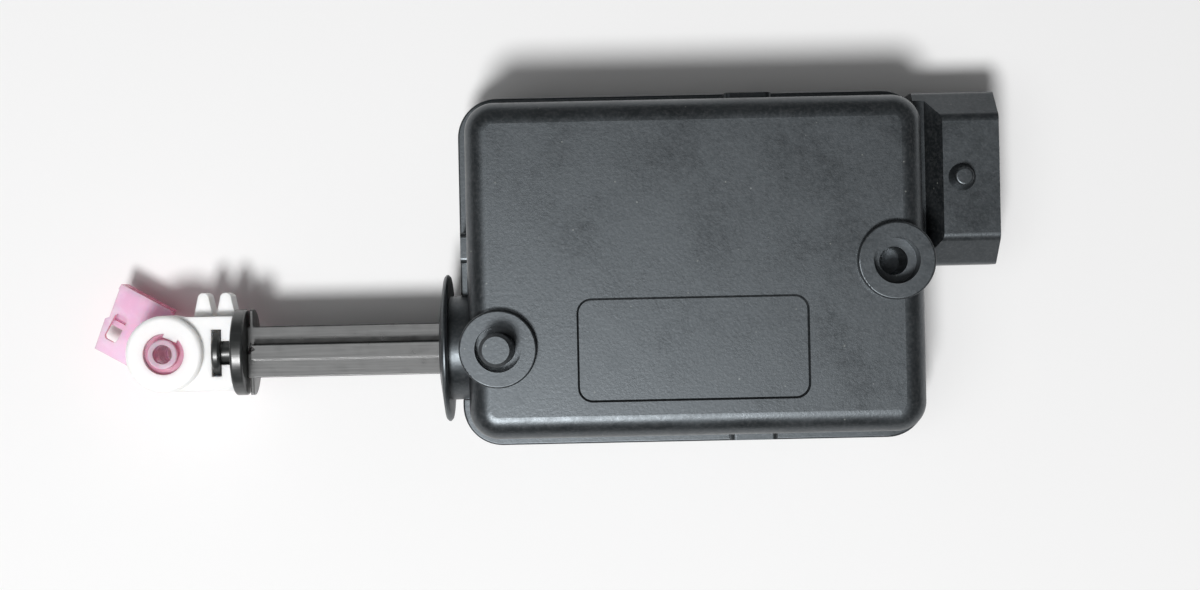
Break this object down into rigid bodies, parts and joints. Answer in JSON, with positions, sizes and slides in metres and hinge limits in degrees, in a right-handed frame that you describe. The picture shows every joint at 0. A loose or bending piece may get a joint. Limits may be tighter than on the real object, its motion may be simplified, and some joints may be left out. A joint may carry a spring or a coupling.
{
  "type": "door latch actuator",
  "caption": "Vehicle door lock actuator: motor-driven plunger in a flat moulded housing, with a plug socket, screw boss, locating peg and a rod coupling with a pivoting rod clip.",
  "frame": {"origin": "on the locating peg's axis, in the plane of the two mounting bosses' faces", "axes": "+Z leaves the mounting face, +X points from the plunger to the connector, and the plunger slides along X"},
  "size_m": [0.1383, 0.0526, 0.0335],
  "materials": {
    "housing_plastic": "moulded glass-filled nylon, fine grain",
    "plunger_plastic": "moulded acetal, satin",
    "white_plastic": "white acetal, satin",
    "pink_plastic": "pink translucent, smooth",
    "gear_plastic": "natural acetal",
    "rubber": "soft buffer rubber",
    "steel": "ground steel",
    "can_steel": "zinc-plated deep-drawn steel",
    "bronze": "sintered bronze",
    "copper": "copper wire and bars",
    "tinned_brass": "tin-plated strip",
    "carbon": "brush carbon",
    "magnet": "ferrite",
    "core_iron": "stacked lamination steel",
    "brass": "machined brass",
    "board": "green glass-fibre board"
  },
  "bodies": {
    "housing": {"front_cover": "housing_plastic", "rear_case": "housing_plastic", "plunger_guide": "housing_plastic", "connector_housing": "housing_plastic", "front_bumper": "rubber", "rear_bumper": "rubber", "motor_can": "can_steel", "motor_end_cap": "gear_plastic", "motor_magnets": "magnet", "front_bush": "bronze", "rear_bush": "bronze", "motor_brushes": "carbon", "motor_tabs": "tinned_brass", "gear_pin": "steel", "contact_board": "board", "contact_tracks": "copper", "terminal_1": "tinned_brass", "terminal_2": "tinned_brass", "terminal_3": "tinned_brass", "terminal_4": "tinned_brass", "terminal_5": "tinned_brass"},
    "rotor": {"motor_shaft": "steel", "armature_core": "core_iron", "armature_windings": "copper", "commutator": "copper", "motor_pinion": "brass"},
    "gear": {"reduction_gear": "gear_plastic"},
    "plunger": {"plunger": "plunger_plastic", "wiper_contact": "copper"},
    "coupling": {"rod_coupling": "white_plastic"},
    "clip": {"rod_clip": "pink_plastic"}
  },
  "joints": [
    {"name": "plunger_slide", "type": "slide", "parent": "housing", "child": "plunger", "axis": [1, 0, 0], "range_m": [0, 0.02]},
    {"name": "gear_spin", "type": "hinge", "parent": "housing", "child": "gear", "pos_m": [0.0288, 0, -0.0145], "axis": [0, 1, 0], "range_deg": [-239.23, 0.5]},
    {"name": "motor_spin", "type": "hinge", "parent": "housing", "child": "rotor", "pos_m": [0.0418, 0, -0.0145], "axis": [0, 1, 0], "range_deg": [-0.5, 797.27]},
    {"name": "coupling_swivel", "type": "hinge", "parent": "plunger", "child": "coupling", "pos_m": [-0.0508, 0, -0.0145], "axis": [1, 0, 0], "continuous": true},
    {"name": "clip_pivot", "type": "hinge", "parent": "coupling", "child": "clip", "pos_m": [-0.0508, 0, -0.0145], "axis": [0, 0, 1], "range_deg": [-60, 120]}
  ],
  "couplings": [
    {"joint": "gear_spin", "follows": "plunger_slide", "rad_per_m": -208.33},
    {"joint": "motor_spin", "follows": "plunger_slide", "rad_per_m": 694.44}
  ]
}
